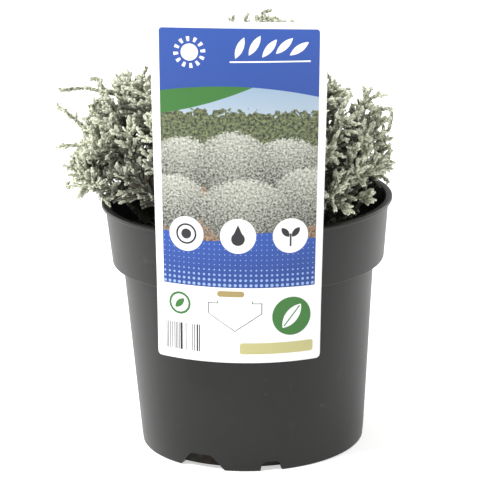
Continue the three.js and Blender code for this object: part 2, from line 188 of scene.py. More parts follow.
def new_finish(name, **fixed):
    """A material, its surface shader and the place on the object, with the fixed sockets set."""
    material = bpy.data.materials.new(name)
    material.use_nodes = True
    surface = material.node_tree.nodes["Principled BSDF"]
    for socket, value in fixed.items():
        surface.inputs[socket.replace("_", " ")].default_value = value
    place = material.node_tree.nodes.new("ShaderNodeTexCoord")
    return material, surface, Wire(material.node_tree, place.outputs["Object"])


def feed(surface, **wires):
    """Joins wires to the surface shader's sockets of the same names."""
    for socket, wire in wires.items():
        wire.tree.links.new(wire.socket, surface.inputs[socket.replace("_", " ")])


def bumped(height, depth):
    """A normal that follows a height between 0 and 1, depth metres tall."""
    return height.node("Bump", None, {"Height": height, "Distance": depth, "Strength": 1.0})


def new_piece(name, shape, *materials):
    """An object made from a bmesh, at the origin."""
    mesh = bpy.data.meshes.new(name)
    shape.to_mesh(mesh)
    shape.free()
    for material in materials:
        mesh.materials.append(material)
    piece = bpy.data.objects.new(name, mesh)
    bpy.context.scene.collection.objects.link(piece)
    return piece


floor_half = 4.0
floor_glow = 0.6
floor_finish, floor_surface, floor_place = new_finish(
    "pale_floor", Roughness=0.9, Emission_Strength=floor_glow
)
floor_tone = floor_place.grain(3.0).tinted(colour(247, 247, 246), colour(251, 251, 251))
feed(floor_surface, Base_Color=floor_tone, Emission_Color=floor_tone)
floor_shape = bmesh.new()
bmesh.ops.create_grid(floor_shape, x_segments=8, y_segments=8, size=floor_half)
floor = new_piece("floor", floor_shape, floor_finish)

room = bpy.data.worlds.new("white_room")
room.use_nodes = True
sky = room.node_tree.nodes.new("ShaderNodeTexCoord")
sky = Wire(room.node_tree, sky.outputs["Generated"])
towards_back = sky.node("SeparateXYZ", None, {0: sky}, 1)
front_wall = (0.25, 0.25, 0.25, 1)
back_wall = (0.75, 0.75, 0.75, 1)
walls = towards_back.into(-0.7, 0.5).tinted(front_wall, back_wall)
room.node_tree.links.new(walls.socket, room.node_tree.nodes["Background"].inputs["Color"])
bpy.context.scene.world = room
bpy.context.scene.view_settings.view_transform = "Standard"


def lamp(name, spot, width, height, power):
    """A rectangular soft lamp that faces the pot."""
    data = bpy.data.lights.new(name, "AREA")
    data.shape = "RECTANGLE"
    data.size = width
    data.size_y = height
    data.energy = power
    holder = bpy.data.objects.new(name, data)
    holder.location = spot
    holder.rotation_euler = (Vector(spot) - lamp_target).to_track_quat("Z", "Y").to_euler()
    bpy.context.scene.collection.objects.link(holder)


lamp_target = Vector((0, 0, 0.1))
lamp("key_lamp", (-1.05, -0.75, 1.55), 0.5, 0.5, 28)
lamp("left_lamp", (-0.95, 0.7, 0.4), 0.5, 1.2, 7)
lamp("right_lamp", (0.95, 0.7, 0.4), 0.5, 1.2, 6)


# The pot is one injection-moulded shell of charcoal plastic: a tapering body, a ledge, a wider collar
# and a thin flange at the top, with drain notches moulded through the foot. It stands on its flat base.
pot_height = 0.121
lip_radius = 0.070
lip_thickness = 0.002
lip_edge = 0.0007
collar_top_radius = 0.0682
collar_foot_radius = 0.0657
ledge_height = 0.091
ledge_round = 0.0007
step_fillet = 0.0004
body_top_radius = 0.0607
foot_radius = 0.0543
foot_round = 0.0009
wall = 0.0013
base_thickness = 0.0018
pot_steps = 192
arc_steps = 4
crease_angle = math.radians(35)
notch_pairs = 3
narrow_notch_offset = math.radians(36)
notch_azimuth = math.radians(-27.5)
notch_depth = 0.009
notch_corner = 0.0014
notch_overlap = 0.001
notch_reach = 0.002
profile_shares = (0.09, 0.3, 0.55, 0.8)
wide_notch = (0.024, 0.012, 0.0074)
narrow_notch = (0.0105, 0.0075, 0.0048)


def inner_radius(height):
    """The inside of the pot's wall at a height."""
    if height < ledge_height:
        return foot_radius - wall + (body_top_radius - foot_radius) * height / ledge_height
    rise = (height - ledge_height) / (pot_height - lip_thickness - ledge_height)
    return collar_foot_radius - wall + (collar_top_radius - collar_foot_radius) * rise


def arc(middle_radius, middle_height, size, first, last):
    """Points of a rounded edge in the profile's plane, from the first angle to the last, in degrees."""
    points = []
    for i in range(arc_steps + 1):
        angle = math.radians(first + (last - first) * i / arc_steps)
        points.append((middle_radius + size * math.cos(angle), middle_height + size * math.sin(angle)))
    return points


def turned(profile, steps):
    """A shell spun about the Z axis from pairs of radius and height that start and end on it."""
    shape = bmesh.new()
    corners = [shape.verts.new((radius, 0, height)) for radius, height in profile]
    edges = [shape.edges.new(pair) for pair in zip(corners, corners[1:])]
    bmesh.ops.spin(
        shape,
        geom=corners + edges,
        cent=(0, 0, 0),
        axis=(0, 0, 1),
        angle=2 * math.pi,
        steps=steps,
        use_merge=True,
    )
    bmesh.ops.remove_doubles(shape, verts=shape.verts, dist=1e-6)
    bmesh.ops.recalc_face_normals(shape, faces=shape.faces)
    return shape


def smooth(mesh):
    """Smooth shading, with the sharp edges left crisp."""
    shape = bmesh.new()
    shape.from_mesh(mesh)
    for face in shape.faces:
        face.smooth = True
    for edge in shape.edges:
        edge.smooth = len(edge.link_faces) == 2 and edge.calc_face_angle(0) < crease_angle
    shape.to_mesh(mesh)
    shape.free()


under_lip = pot_height - lip_thickness
pot_profile = [(0, 0), (foot_radius - foot_round, 0)]
pot_profile += arc(foot_radius - foot_round, foot_round, foot_round, -90, 0)[1:]
for share in profile_shares:
    reach = foot_radius + (body_top_radius - foot_radius) * share
    pot_profile.append((reach, ledge_height * share))
pot_profile.append((body_top_radius, ledge_height - step_fillet))
pot_profile.append((body_top_radius + step_fillet, ledge_height))
pot_profile += arc(collar_foot_radius - ledge_round, ledge_height + ledge_round, ledge_round, -90, 0)
pot_profile.append((collar_top_radius, under_lip - step_fillet))
pot_profile.append((collar_top_radius + step_fillet, under_lip))
pot_profile += arc(lip_radius - lip_edge, under_lip + lip_edge, lip_edge, -90, 0)
pot_profile += arc(lip_radius - lip_edge, pot_height - lip_edge, lip_edge, 0, 90)
pot_profile += arc(inner_radius(under_lip) + lip_edge, pot_height - lip_edge, lip_edge, 90, 180)
pot_profile += [
    (inner_radius(ledge_height + wall), ledge_height + wall),
    (body_top_radius - wall, ledge_height),
    (inner_radius(base_thickness), base_thickness),
    (0, base_thickness),
]

notches = bmesh.new()
for i in range(notch_pairs * 2):
    foot, top, height = narrow_notch if i % 2 else wide_notch
    outline = [
        (-foot / 2, -notch_overlap),
        (foot / 2, -notch_overlap),
        (foot / 2, 0),
        (top / 2 + notch_corner / 2, height - notch_corner),
        (top / 2 - notch_corner / 4, height - notch_corner / 3),
        (top / 2 - notch_corner, height),
        (notch_corner - top / 2, height),
        (notch_corner / 4 - top / 2, height - notch_corner / 3),
        (-top / 2 - notch_corner / 2, height - notch_corner),
        (-foot / 2, 0),
    ]
    front = [notches.verts.new((x, -foot_radius - notch_reach, z)) for x, z in outline]
    face = notches.faces.new(front)
    pushed = bmesh.ops.extrude_face_region(notches, geom=[face])
    moved = [item for item in pushed["geom"] if isinstance(item, bmesh.types.BMVert)]
    bmesh.ops.translate(notches, vec=(0, notch_depth, 0), verts=moved)
    pair_azimuth = notch_azimuth + i // 2 * 2 * math.pi / notch_pairs
    turn = Matrix.Rotation(pair_azimuth + i % 2 * narrow_notch_offset, 3, "Z")
    bmesh.ops.rotate(notches, cent=(0, 0, 0), matrix=turn, verts=front + moved)
bmesh.ops.recalc_face_normals(notches, faces=notches.faces)

pot_finish, pot_surface, pot_place = new_finish("charcoal_plastic", Specular_IOR_Level=0.33)
flow = pot_place.node("Mapping", None, {"Vector": pot_place, "Scale": (1, 1, 0.12)})
cloud = pot_place.grain(26, 4)
streak = flow.grain(420, 3)
pebble = pot_place.grain(1500, 2)
scuff = pot_place.grain(90, 5, 0.7).into(0.6, 0.74) * pot_place.grain(17).into(0.5, 0.72)
charcoal = (cloud * 0.6 + streak * 0.4).tinted(colour(25, 25, 24), colour(35, 34, 33))
dusty = (scuff * 0.3).tinted(charcoal, colour(128, 124, 116))
feed(pot_surface, Base_Color=dusty, Roughness=0.36 + cloud * 0.12 + scuff * 0.2)
feed(pot_surface, Normal=bumped(pebble * 0.6 + streak * 0.4, 0.00006))

pot = new_piece("nursery_pot", turned(pot_profile, pot_steps), pot_finish)
cutter = new_piece("notch_cutter", notches)
cut = pot.modifiers.new("notches", "BOOLEAN")
cut.object = cutter
cut.solver = "EXACT"
finished = bpy.data.meshes.new_from_object(pot.evaluated_get(bpy.context.evaluated_depsgraph_get()))
pot.modifiers.clear()
pot.data = finished
bpy.data.objects.remove(cutter)
smooth(pot.data)
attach(pot, "root")
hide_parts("pot")


# The potting mix fills the pot to well below its rim: black composted bark, with loose chips, crumbs and
# a few white grains of perlite lying on top.
soil_gap = 0.0003
soil_level = 0.104
soil_relief = 0.0008
soil_edge_gap = 0.0004
soil_edge = inner_radius(soil_level) - soil_edge_gap
soil_ledge = ledge_height + wall + soil_gap
soil_foot = base_thickness + soil_gap
crumb_height = 0.0011
crumb_scale = 420
soil_rings = 46
soil_steps = 180
chip_count = 520
chips_per_perlite = 20
chip_margin = 0.003
chip_dent = 0.25
chip_dent_scale = 900
chip_lift = 0.3
chip_size = (0.0007, 0.0024)
perlite_size = (0.0006, 0.0013)


def soil_height(x, y):
    """The mix's surface in metres, over the same slow swells as its solid."""
    swell = math.sin(x * 130 + 1.1) * math.cos(y * 110) + 0.6 * math.sin(x * 50 - y * 190)
    crumbs = noise.fractal(Vector((x, y, 0.3)) * crumb_scale, 0.6, 2.1, 4)
    return soil_level + soil_relief * swell + crumb_height * crumbs


soil_profile = [
    (0, soil_foot),
    (inner_radius(soil_foot) - soil_gap, soil_foot),
    (inner_radius(ledge_height - soil_gap) - soil_gap, ledge_height - soil_gap),
    (body_top_radius - wall - soil_gap, soil_ledge),
    (inner_radius(soil_ledge) - soil_edge_gap, soil_ledge + soil_gap),
    (soil_edge, soil_level),
]
soil_profile += [(soil_edge * ring / soil_rings, soil_level) for ring in range(soil_rings - 1, -1, -1)]
soil_shape = turned(soil_profile, soil_steps)
for vert in soil_shape.verts:
    if abs(vert.co.z - soil_level) < 1e-5 and vert.co.xy.length < soil_edge - 1e-4:
        vert.co.z = soil_height(vert.co.x, vert.co.y)

chance = np.random.default_rng(41)
for i in range(chip_count):
    is_perlite = i % chips_per_perlite == 0
    azimuth = chance.uniform(0, 2 * math.pi)
    radius = (soil_edge - chip_margin) * math.sqrt(chance.uniform(0.01, 1))
    x, y = radius * math.cos(azimuth), radius * math.sin(azimuth)
    size = chance.uniform(*(perlite_size if is_perlite else chip_size))
    chip = bmesh.ops.create_icosphere(soil_shape, subdivisions=1, radius=size)["verts"]
    flat = (1, 1, 0.9)
    if not is_perlite:
        flat = (chance.uniform(0.7, 1.5), chance.uniform(0.4, 0.8), chance.uniform(0.25, 0.5))
    bmesh.ops.scale(soil_shape, vec=flat, verts=chip)
    for vert in chip:
        vert.co *= 1 + chip_dent * noise.noise(vert.co * chip_dent_scale + Vector((i, 0, 0)))
    tilt = Matrix.Rotation(chance.uniform(-0.5, 0.5), 3, "X")
    tilt = tilt @ Matrix.Rotation(chance.uniform(0, 6.28), 3, "Z")
    bmesh.ops.rotate(soil_shape, cent=(0, 0, 0), matrix=tilt, verts=chip)
    bmesh.ops.translate(soil_shape, vec=(x, y, soil_height(x, y) + size * chip_lift), verts=chip)
    if is_perlite:
        for face in {face for vert in chip for face in vert.link_faces}:
            face.material_index = 1

soil_finish, soil_surface, soil_place = new_finish("composted_bark", Specular_IOR_Level=0.3)
clod = soil_place.grain(240, 5, 0.6)
damp = soil_place.grain(38, 2).into(0.4, 0.65)
bark = clod.node("ValToRGB", {"stops": [
    (0.3, (0.004, 0.0035, 0.003)), (0.55, (0.014, 0.011, 0.008)), (0.75, (0.045, 0.033, 0.022)),
]}, {"Fac": clod})
wet_bark = (damp * 0.5).tinted(bark, (0.007, 0.006, 0.005, 1))
feed(soil_surface, Base_Color=wet_bark, Roughness=0.95 - damp * 0.25)
feed(soil_surface, Normal=bumped(clod, 0.0006))
perlite_finish, perlite_surface, perlite_place = new_finish("perlite", Roughness=0.9)
pores = perlite_place.grain(1800, 3)
feed(perlite_surface, Base_Color=pores.tinted(colour(120, 117, 108), colour(214, 211, 202)))
feed(perlite_surface, Normal=bumped(pores, 0.0002))

soil = new_piece("potting_mix", soil_shape, soil_finish, perlite_finish)
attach(soil, "root")
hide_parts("soil")


# The label is one sheet of printed plastic card, die-cut with round corners and a tongue. It stands in
# front of the pot, curved like the pot at its foot and nearly flat at its head. Its print is a plain
# garden design: a blue header, a picture of grey mounds, three badges, a blue band and a white foot.
card_width = 0.079
card_height = 0.159
card_thickness = 0.0006
card_foot = 0.060
card_corner = 0.002
card_bend_foot = 14.5
card_bend_loss = 13.5
card_bend_power = 1.5
card_turn = math.radians(-3.8)
card_lean = math.radians(1.7)
tongue_offset = -0.0013
tongue = [(0.008, 0.0895), (0.008, 0.0885), (0.0123, 0.0885), (0.0123, 0.0836), (0, 0.0752)]
slit_width = 0.0004
slit_depth = 0.012


def card_bend(above):
    """The card's curvature at a height above its foot, as one over the radius."""
    rise = min(max(above / card_height, 0), 1)
    return card_bend_foot - card_bend_loss * rise ** card_bend_power


card_place = (
    Matrix.Rotation(card_turn, 4, "Z")
    @ Matrix.Translation((0, -lip_radius - soil_gap - card_thickness / 2, pot_height))
    @ Matrix.Rotation(card_lean, 4, "Y")
    @ Matrix.Translation((0, 0, card_foot - pot_height))
)

card_shape = bmesh.new()
bmesh.ops.create_grid(card_shape, x_segments=64, y_segments=128, size=0.5)
card_uv = card_shape.loops.layers.uv.new("print")
for face in card_shape.faces:
    for loop in face.loops:
        loop[card_uv].uv = (loop.vert.co.x + 0.5, loop.vert.co.y + 0.5)
for vert in card_shape.verts:
    vert.co = (vert.co.x * card_width, 0, (vert.co.y + 0.5) * card_height)
for side in (-1, 1):
    for end in (0, 1):
        middle_x = side * (card_width / 2 - card_corner)
        middle_z = card_corner + end * (card_height - 2 * card_corner)
        middle = Vector((middle_x, 0, middle_z))
        for vert in card_shape.verts:
            arm = vert.co - middle
            if arm.x * side > 0 and arm.z * (2 * end - 1) > 0 and arm.length > card_corner:
                vert.co = middle + arm.normalized() * card_corner
for vert in card_shape.verts:
    bend = card_bend(vert.co.z)
    across = vert.co.x * bend
    vert.co = card_place @ Vector((math.sin(across) / bend, (1 - math.cos(across)) / bend, vert.co.z))
bmesh.ops.recalc_face_normals(card_shape, faces=card_shape.faces)
if sum(face.normal.y for face in card_shape.faces) > 0:
    bmesh.ops.reverse_faces(card_shape, faces=card_shape.faces)

slits = bmesh.new()
for side in (-1, 1):
    corners = [Vector((side * x + tongue_offset, 0, z - card_foot)) for x, z in tongue]
    for start, end in zip(corners, corners[1:]):
        run = end - start
        box = bmesh.ops.create_cube(slits, size=1)["verts"]
        bmesh.ops.scale(slits, vec=(run.length + slit_width, slit_depth, slit_width), verts=box)
        slope = Matrix.Rotation(-math.atan2(run.z, run.x), 3, "Y")
        bmesh.ops.rotate(slits, cent=(0, 0, 0), matrix=slope, verts=box)
        bmesh.ops.translate(slits, vec=(start + end) / 2, verts=box)
bmesh.ops.transform(slits, matrix=card_place, verts=slits.verts)


def rounded_box(x, y, left, right, low, high, corner):
    """1 inside a round-cornered box on the card and 0 outside, in millimetres from the foot's middle."""
    over_x = abs(x - (left + right) / 2) - ((right - left) / 2 - corner)
    over_y = abs(y - (low + high) / 2) - ((high - low) / 2 - corner)
    outside = (over_x.larger(0) ** 2 + over_y.larger(0) ** 2) ** 0.5
    return (outside + over_x.larger(over_y).smaller(0)) < corner


def disc(x, y, middle_x, middle_y, radius):
    """1 inside a disc on the card and 0 outside."""
    return ((x - middle_x) ** 2 + (y - middle_y) ** 2) < radius ** 2


def leaf(x, y, middle_x, middle_y, length, width, lean):
    """A pointed leaf: where two circles cross, turned by lean degrees."""
    cos, sin = math.cos(math.radians(lean)), math.sin(math.radians(lean))
    along = (x - middle_x) * cos + (y - middle_y) * sin
    aside = (y - middle_y) * cos - (x - middle_x) * sin
    radius = (length ** 2 + width ** 2) / (4 * width)
    offset = radius - width / 2
    return disc(along, aside, 0, offset, radius) * disc(along, aside, 0, -offset, radius)


card_finish, card_surface, _ = new_finish(
    "printed_card", Specular_IOR_Level=0.25, Coat_Weight=0.12, Coat_Roughness=0.25
)
print_map = card_finish.node_tree.nodes.new("ShaderNodeUVMap")
print_map.uv_map = "print"
on_card = Wire(card_finish.node_tree, print_map.outputs["UV"])
apart = on_card.node("SeparateXYZ", None, {0: on_card})
x = (apart - 0.5) * (card_width * 1000)
y = Wire(apart.tree, apart.socket.node.outputs[1]) * (card_height * 1000)
on_card = on_card.node("CombineXYZ", None, {0: x, 1: y})

white = colour(252, 252, 252)
blue = colour(36, 82, 172)
deep_blue = colour(26, 64, 142)
green = colour(52, 118, 42)
tan = colour(198, 192, 132)
ink = colour(28, 30, 34)

# A pale sky, a dark hedge, bark ground and mounds of grey foliage.
sky = y.into(96, 132).tinted(colour(206, 214, 214), colour(150, 176, 202))
ragged = y + on_card.grain(0.35, 4) * 14
hedge_leaves = on_card.grain(0.75, 5, 0.75).into(0.42, 0.6)
hedge = hedge_leaves.tinted(colour(28, 36, 24), colour(132, 142, 96))
picture = (ragged < 125).tinted(sky, hedge)
bark_chips = on_card.grain(0.9, 5, 0.75).into(0.4, 0.62)
bark_ground = bark_chips.tinted(colour(62, 46, 36), colour(186, 152, 122))
picture = (ragged < 96).tinted(picture, bark_ground)
mounds = [
    (22, 94, 17, 12), (-25, 93, 15, 13), (-2, 92, 17, 17),
    (31, 78, 16, 14), (-29, 75, 15, 13), (3, 72, 21, 15),
]
for middle_x, middle_y, half_x, half_y in mounds:
    round_x = (x - middle_x) / half_x
    round_y = (y - middle_y) / half_y
    rim = round_x ** 2 + round_y ** 2 + (on_card.grain(0.9, 3) - 0.5) * 1.1
    leafage = on_card.grain(0.95, 6, 0.8).into(0.4, 0.6)
    lit = (leafage * 0.85 + round_y * 0.3 - abs(round_x) * 0.12 + 0.02).into(0, 1)
    mound = lit.tinted(colour(40, 42, 32), colour(218, 220, 206))
    picture = (rim < 1).tinted(picture, mound)

# The header with its green sweep, and the picture's window.
left, right, top = -35.6, 36, 156
foot_top = 36
sun_x, sun_y = -22, 145
design = rounded_box(x, y, left, right, 40, 131, 0.5).tinted(white, picture)
head_edge = 131.5 - (x - left) * 0.05 - ((x - 4) / 30) ** 2 * 2.6
printed = rounded_box(x, y, left, right, 90, top, 1.5)
across = (x - left) / 42
sweep = printed * (across < 1) * (y > head_edge - 10.5 * (1 - across ** 2))
design = sweep.tinted(design, green)
header = printed * (y > head_edge)
design = header.tinted(design, y.into(128, top).tinted(colour(32, 74, 160), blue))
for step in range(5):
    spot = 0.5 + step * 6.6
    design = leaf(x, y, spot, 147.2 + (step % 2) * 1.2, 10.4, 3.3, 68 - step * 8).tinted(design, white)
stalk = (abs(y - (140.9 + x * 0.02)) < 0.35) * (abs(x - 14) < 18)
design = stalk.tinted(design, white)
from_sun = on_card.node("VectorMath", {"operation": "SUBTRACT"}, {0: on_card, 1: (sun_x, sun_y, 0)})
sun_ray = on_card.node("TexGradient", {"gradient_type": "RADIAL"}, {0: from_sun})
rays = (sun_ray.maths("FRACT", sun_ray * 12) < 0.42) * disc(x, y, sun_x, sun_y, 7.2)
rays = rays * (1 - disc(x, y, sun_x, sun_y, 5.0))
design = rays.larger(disc(x, y, sun_x, sun_y, 3.9)).tinted(design, white)

# The blue band with rows of fine dots, and three white badges across its upper edge.
band_edge = 60 + x.maths("SINE", x * 0.11) * 2.2
band = (y < band_edge) * rounded_box(x, y, left, right, foot_top, 75, 0.5)
design = band.tinted(design, y.into(foot_top, 62).tinted(deep_blue, blue))
dot_pitch = 2.4
dot_x = x.maths("FRACT", x / dot_pitch) - 0.5
dot_y = y.maths("FRACT", y / dot_pitch) - 0.5
dot_size = y.into(46, foot_top) * 0.09 + 0.01
dots = ((dot_x ** 2 + dot_y ** 2) < dot_size) * band
design = dots.tinted(design, colour(150, 180, 232))
badge_height = 60.5
badge_apart = 24
for spot in (-badge_apart, 0, badge_apart):
    design = disc(x, y, spot, badge_height, 8.2).tinted(design, white)
sun_hole = disc(x, y, -badge_apart, badge_height, 4.0)
sun_ring = disc(x, y, -badge_apart, badge_height, 4.9) * (1 - sun_hole)
sun = disc(x, y, -badge_apart, badge_height, 2.4).larger(sun_ring)
drop_side = abs(x) - (badge_height + 5.4 - y) * 0.44
drop_point = (drop_side < 0) * (y > badge_height - 0.4) * (y < badge_height + 5.4)
drop = disc(x, y, 0, badge_height - 1.4, 3.1).larger(drop_point)
right_leaf = leaf(x, y, 26.4, badge_height + 1.6, 5.6, 2.8, 50)
sprout = leaf(x, y, 21.6, badge_height + 1.6, 5.6, 2.8, 130).larger(right_leaf)
sprout = sprout.larger((abs(x - badge_apart) < 0.4) * (abs(y - badge_height + 2) < 3))
design = sun.larger(drop).larger(sprout).tinted(design, ink)

# The white foot: a green disc with a leaf, a tan bar, a small ring and a comb of plain bars.
design = (y < foot_top).tinted(design, white)
design = disc(x, y, 25, 22, 9.2).tinted(design, green)
design = leaf(x, y, 25, 22, 14, 6.2, 52).tinted(design, white)
vein = (abs((x - 25) * 0.788 - (y - 22) * 0.616) < 0.3) * disc(x, y, 25, 22, 6)
design = vein.tinted(design, green)
design = rounded_box(x, y, 1, 35.5, 4.2, 9.6, 1.2).tinted(design, tan)
design = rounded_box(x, y, -9.5, 3, 31.6, 34.4, 1.4).tinted(design, colour(170, 150, 92))
ring = disc(x, y, -27.5, 27, 5.4) * (1 - disc(x, y, -27.5, 27, 4.3))
design = ring.larger(leaf(x, y, -27.5, 27, 6.4, 3, 45)).tinted(design, green)
stripe = on_card.node("TexWhiteNoise", {"noise_dimensions": "1D"}, {"W": x.maths("FLOOR", x * 2.6)})
comb = (stripe > 0.5) * rounded_box(x, y, -35, -17.5, 4.5, 17.5, 0.2)
design = comb.tinted(design, ink)

press = on_card.grain(9, 2)
inked = (press * 0.05).tinted(design, colour(226, 228, 232))
feed(card_surface, Base_Color=inked, Roughness=0.34 + press * 0.08)
feed(card_surface, Normal=bumped(press, 0.00001))
edge_finish, edge_surface, edge_place = new_finish("card_stock", Roughness=0.5)
feed(edge_surface, Base_Color=edge_place.grain(300).tinted(colour(236, 237, 238), colour(247, 247, 247)))

card = new_piece("printed_label", card_shape, card_finish, edge_finish)
slit_cutter = new_piece("slit_cutter", slits)
thicken = card.modifiers.new("thickness", "SOLIDIFY")
thicken.thickness = card_thickness
thicken.offset = 0
thicken.material_offset = 1
thicken.material_offset_rim = 1
die = card.modifiers.new("tongue", "BOOLEAN")
die.operation = "DIFFERENCE"
die.object = slit_cutter
die.solver = "EXACT"
die.use_self = True
finished = bpy.data.meshes.new_from_object(card.evaluated_get(bpy.context.evaluated_depsgraph_get()))
card.modifiers.clear()
card.data = finished
bpy.data.objects.remove(slit_cutter)
smooth(card.data)
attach(card, "root")
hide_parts("label")


# The bush is a dozen woody stems standing in the mix. Each grew as one piece: it forks at wide angles
# into wiry branchlets that end in short knobbly shoots, clothed in tiny woolly scale leaves.
bush_centre = Vector((-0.0085, 0, 0.130))
bush_radius = 0.082
shoulder_dip = 0.22
shoulder_elevation = math.radians(54)
shoulder_tilt = math.radians(4)
shoulder_spread = math.radians(16)
crown_shift = 0.014
lobe = 0.028
lowest_elevation = math.radians(-4)
golden_angle = math.pi * (3 - math.sqrt(5))
azimuth_scatter = 0.35
inner_tips = 44
shell_tips = 122
skirt_tips = 20
skirt_inside, skirt_width = 0.042, 0.018
skirt_foot, skirt_rise = 0.109, 0.009
skirt_gap_x, skirt_gap_y = -0.020, 0.010
sprigs = 240
fine_sprigs = 2650
dull_sprigs = 2300
added_kinds = ("fine", "dull")
bare_side = (-0.020, 0.015, 0.130)
furthest_tips = [
    (-0.045, 0.002, 0.18), (-0.052, 0, 0.1785), (-0.069, -0.004, 0.181), (-0.073, 0.004, 0.1785),
    (-0.077, -0.003, 0.1765), (-0.087, -0.010, 0.177), (-0.090, 0, 0.168), (-0.091, -0.004, 0.148),
    (-0.088, -0.006, 0.140), (-0.086, 0.004, 0.126), (-0.071, -0.008, 0.1245), (-0.003, 0.002, 0.209),
    (0.003, -0.004, 0.211), (0.01, 0.006, 0.209), (0.0145, -0.002, 0.2075), (0.037, 0, 0.1855),
    (0.042, 0.004, 0.1775), (0.048, -0.006, 0.173), (0.061, 0.006, 0.1715), (0.067, -0.004, 0.1695),
    (0.071, 0.005, 0.161), (0.0685, -0.003, 0.152), (0.0665, 0.004, 0.144), (0.0665, -0.006, 0.134),
    (0.066, 0.004, 0.127),
]
cone_point = Vector((-0.003, 0, 0.055))
inner_stems = 4
outer_stems = 8
inner_lean = math.radians(16)
outer_lean = math.radians(39)
inner_start = 0.5
outer_start = 0.2
cone_margin = 0.0017
cone_passes = 3
card_clearance = 0.003
card_spare = 0.0002
rim_clearance = 0.0022
soil_clearance = 0.003
hole_depth = 0.018
wood_radius = 0.0005
wood_growth = 0.3
leafy_radius = 0.00084
tip_radius = 0.00055
leafy_from = 0.62
leafy_to = 0.8
step_length = 0.012
sprig_length = (0.004, 0.015)
path_weight = 0.6
straight_ahead = 0.35
turning_cost = 0.030
side_shoot_curve = 0.42
shortest_branch = 0.003
stem_knots = (0.009, 0.024)
stem_collar = 0.002
places_checked = 12
bush_heart = Vector((-0.005, 0, 0.098))
fine_outward = 0.8
fine_longest = 0.018
fine_knot_step = 0.004
fine_bow = 0.12
fine_look_ahead = 0.01
fine_places_checked = 4


def stream(seed):
    """A repeatable stream of numbers between 0 and 1, as it placed the solid twigs."""
    modulus = 2**31 - 1
    state = (seed * 1000003 + 12345) % modulus
    while True:
        state = (state * 48271) % modulus
        yield state / modulus


def bush_reach(azimuth, elevation):
    """Distance from the bush's centre to the tips of its twigs in one direction."""
    shoulder = shoulder_elevation - shoulder_tilt * math.cos(azimuth)
    dip = 1 - shoulder_dip * math.exp(-(((elevation - shoulder) / shoulder_spread) ** 2))
    around = math.sin(3 * azimuth + 1.3)
    slanting = math.sin(5 * azimuth + 4 * elevation)
    return bush_radius * dip * (1 + lobe * (around + slanting) * math.cos(elevation))


def outwardness(point):
    """How far out a point lies, from 0 at the bush's centre to 1 at the tips."""
    arm = point - bush_centre
    return arm.length / bush_reach(math.atan2(arm.y, arm.x), math.atan2(arm.z, math.hypot(arm.x, arm.y)))


def behind_card(point):
    """How far a point lies behind the nearest place that a twig may come to the back of the card."""
    across = point.x * math.cos(card_turn) + point.y * math.sin(card_turn)
    behind = point.y * math.cos(card_turn) - point.x * math.sin(card_turn)
    return behind + lip_radius - card_clearance - card_bend(point.z - card_foot) * across * across / 2


def is_clear(point):
    """True where a twig misses the pot, the mix and the card."""
    over_rim = math.hypot(point.x, point.y) > inner_radius(pot_height - lip_thickness) - rim_clearance
    low = pot_height + rim_clearance if over_rim else soil_level + soil_clearance
    return point.z > low and behind_card(point) > 0


def spread(count, nearest, furthest, lowest, seed):
    """Evenly spread points at random shares of the bush's reach, with the crown leaning to the right."""
    draw = stream(seed)
    points = []
    low = math.sin(lowest)
    for i in range(count):
        elevation = math.asin(1 + (low - 1) * (i + 0.5) / count)
        azimuth = i * golden_angle + azimuth_scatter * (next(draw) - 0.5)
        share = nearest + (furthest - nearest) * next(draw)
        reach = bush_reach(azimuth, elevation) * share
        flat = reach * math.cos(elevation)
        shift = crown_shift * share * math.sin(elevation) ** 4
        arm = Vector((flat * math.cos(azimuth), flat * math.sin(azimuth), reach * math.sin(elevation)))
        arm.x += shift
        points.append(bush_centre + arm)
    return points


def skirt():
    """Low shoots inside the rim, all round but for the bare left front."""
    draw = stream(5)
    points = []
    for i in range(skirt_tips):
        radius = skirt_inside + skirt_width * next(draw)
        height = skirt_foot + skirt_rise * next(draw)
        azimuth = i * golden_angle
        point = Vector((radius * math.cos(azimuth), radius * math.sin(azimuth), height))
        if point.x > skirt_gap_x or point.y > skirt_gap_y:
            points.append(point)
    return points


directions = []
stem_rows = ((inner_stems, inner_lean, inner_start), (outer_stems, outer_lean, outer_start))
for count, lean, start in stem_rows:
    for i in range(count):
        azimuth = start + i * 2 * math.pi / count
        flat = math.sin(lean)
        directions.append(Vector((flat * math.cos(azimuth), flat * math.sin(azimuth), math.cos(lean))))


def into_cone(point, own):
    """Moves a point into one stem's cone, clear of the cones beside it."""
    for _ in range(cone_passes):
        for other in directions:
            if other is directions[own]:
                continue
            away = (directions[own] - other).normalized()
            depth = (point - cone_point).dot(away)
            if depth < cone_margin:
                point = point + away * (cone_margin - depth)
    return point


def sort_ends(places, kind):
    """Shares the twig ends out to the stems whose cones hold them."""
    for end in places:
        arm = (end - cone_point).normalized()
        fits = [direction.dot(arm) for direction in directions]
        own = fits.index(max(fits))
        place = into_cone(end, own)
        place.y += max(0, card_spare - behind_card(place))
        on_bare_side = all(value < edge for value, edge in zip(place, bare_side))
        if is_clear(place) and not (kind in added_kinds and on_bare_side):
            ends_of[own].append((place, kind))


ends_of = [[] for _ in directions]
sort_ends(spread(inner_tips, 0.5, 0.78, 0, 11), "branch")
sort_ends([Vector(tip) for tip in furthest_tips], "branch")
sort_ends(spread(shell_tips, 0.88, 1, lowest_elevation, 12), "branch")
sort_ends(skirt(), "branch")
sort_ends(spread(sprigs, 0.8, 1, lowest_elevation, 13), "sprig")
sort_ends(spread(fine_sprigs, 0.62, 0.985, lowest_elevation, 14), "fine")
sort_ends(spread(dull_sprigs, 0.45, 0.9, lowest_elevation, 15), "dull")


